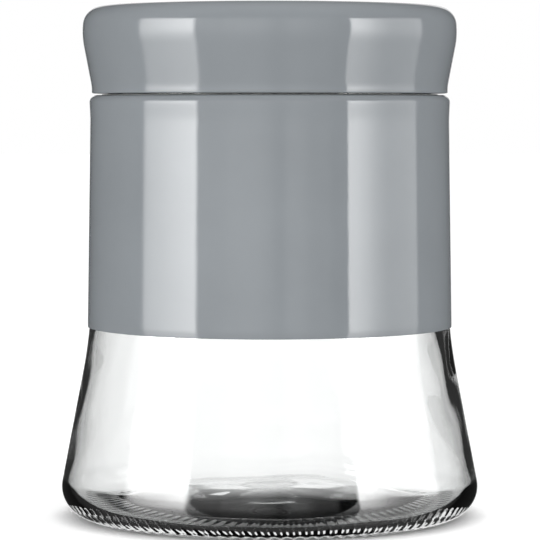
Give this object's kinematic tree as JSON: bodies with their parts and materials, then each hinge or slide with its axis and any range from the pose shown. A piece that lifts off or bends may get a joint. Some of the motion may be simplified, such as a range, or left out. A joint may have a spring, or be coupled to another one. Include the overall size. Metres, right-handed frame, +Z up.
{
  "type": "spice jar",
  "caption": "Clear glass kitchen jar that flares to a heavy base, with a painted steel sleeve round its upper half and a flared steel screw lid.",
  "frame": {"origin": "on the jar's axis, in the plane that its base ring stands on", "axes": "+Z up along the jar's axis; the jar is round, so X and Y are free, and the picture looks along +Y"},
  "size_m": [0.1056, 0.1056, 0.1288],
  "materials": {
    "glass": "clear pressed soda-lime glass, polished by the flame, with a stippled base ring",
    "sleeve_paint": "cool mid-grey gloss enamel on sheet steel",
    "lid_paint": "cool mid-grey gloss enamel on sheet steel",
    "liner_plastic": "moulded white polypropylene, satin",
    "silicone": "translucent white silicone, matt",
    "sealant": "clear neutral-cure sealant, smooth"
  },
  "bodies": {
    "jar": {"glass_jar": "glass", "sleeve": "sleeve_paint", "sleeve_sealant": "sealant"},
    "seal": {"seal_ring": "silicone"},
    "lid": {"lid_liner": "liner_plastic", "lid_shell": "lid_paint"}
  },
  "joints": [
    {"name": "lid_lift", "type": "slide", "parent": "jar", "child": "seal", "axis": [0, 0, 1], "range_m": [0, 0.01524]},
    {"name": "lid_turn", "type": "hinge", "parent": "seal", "child": "lid", "pos_m": [0, 0, 0.12], "axis": [0, 0, 1], "range_deg": [0, 1080]}
  ],
  "couplings": [
    {"joint": "lid_lift", "follows": "lid_turn", "m_per_rad": 0.00080851}
  ]
}
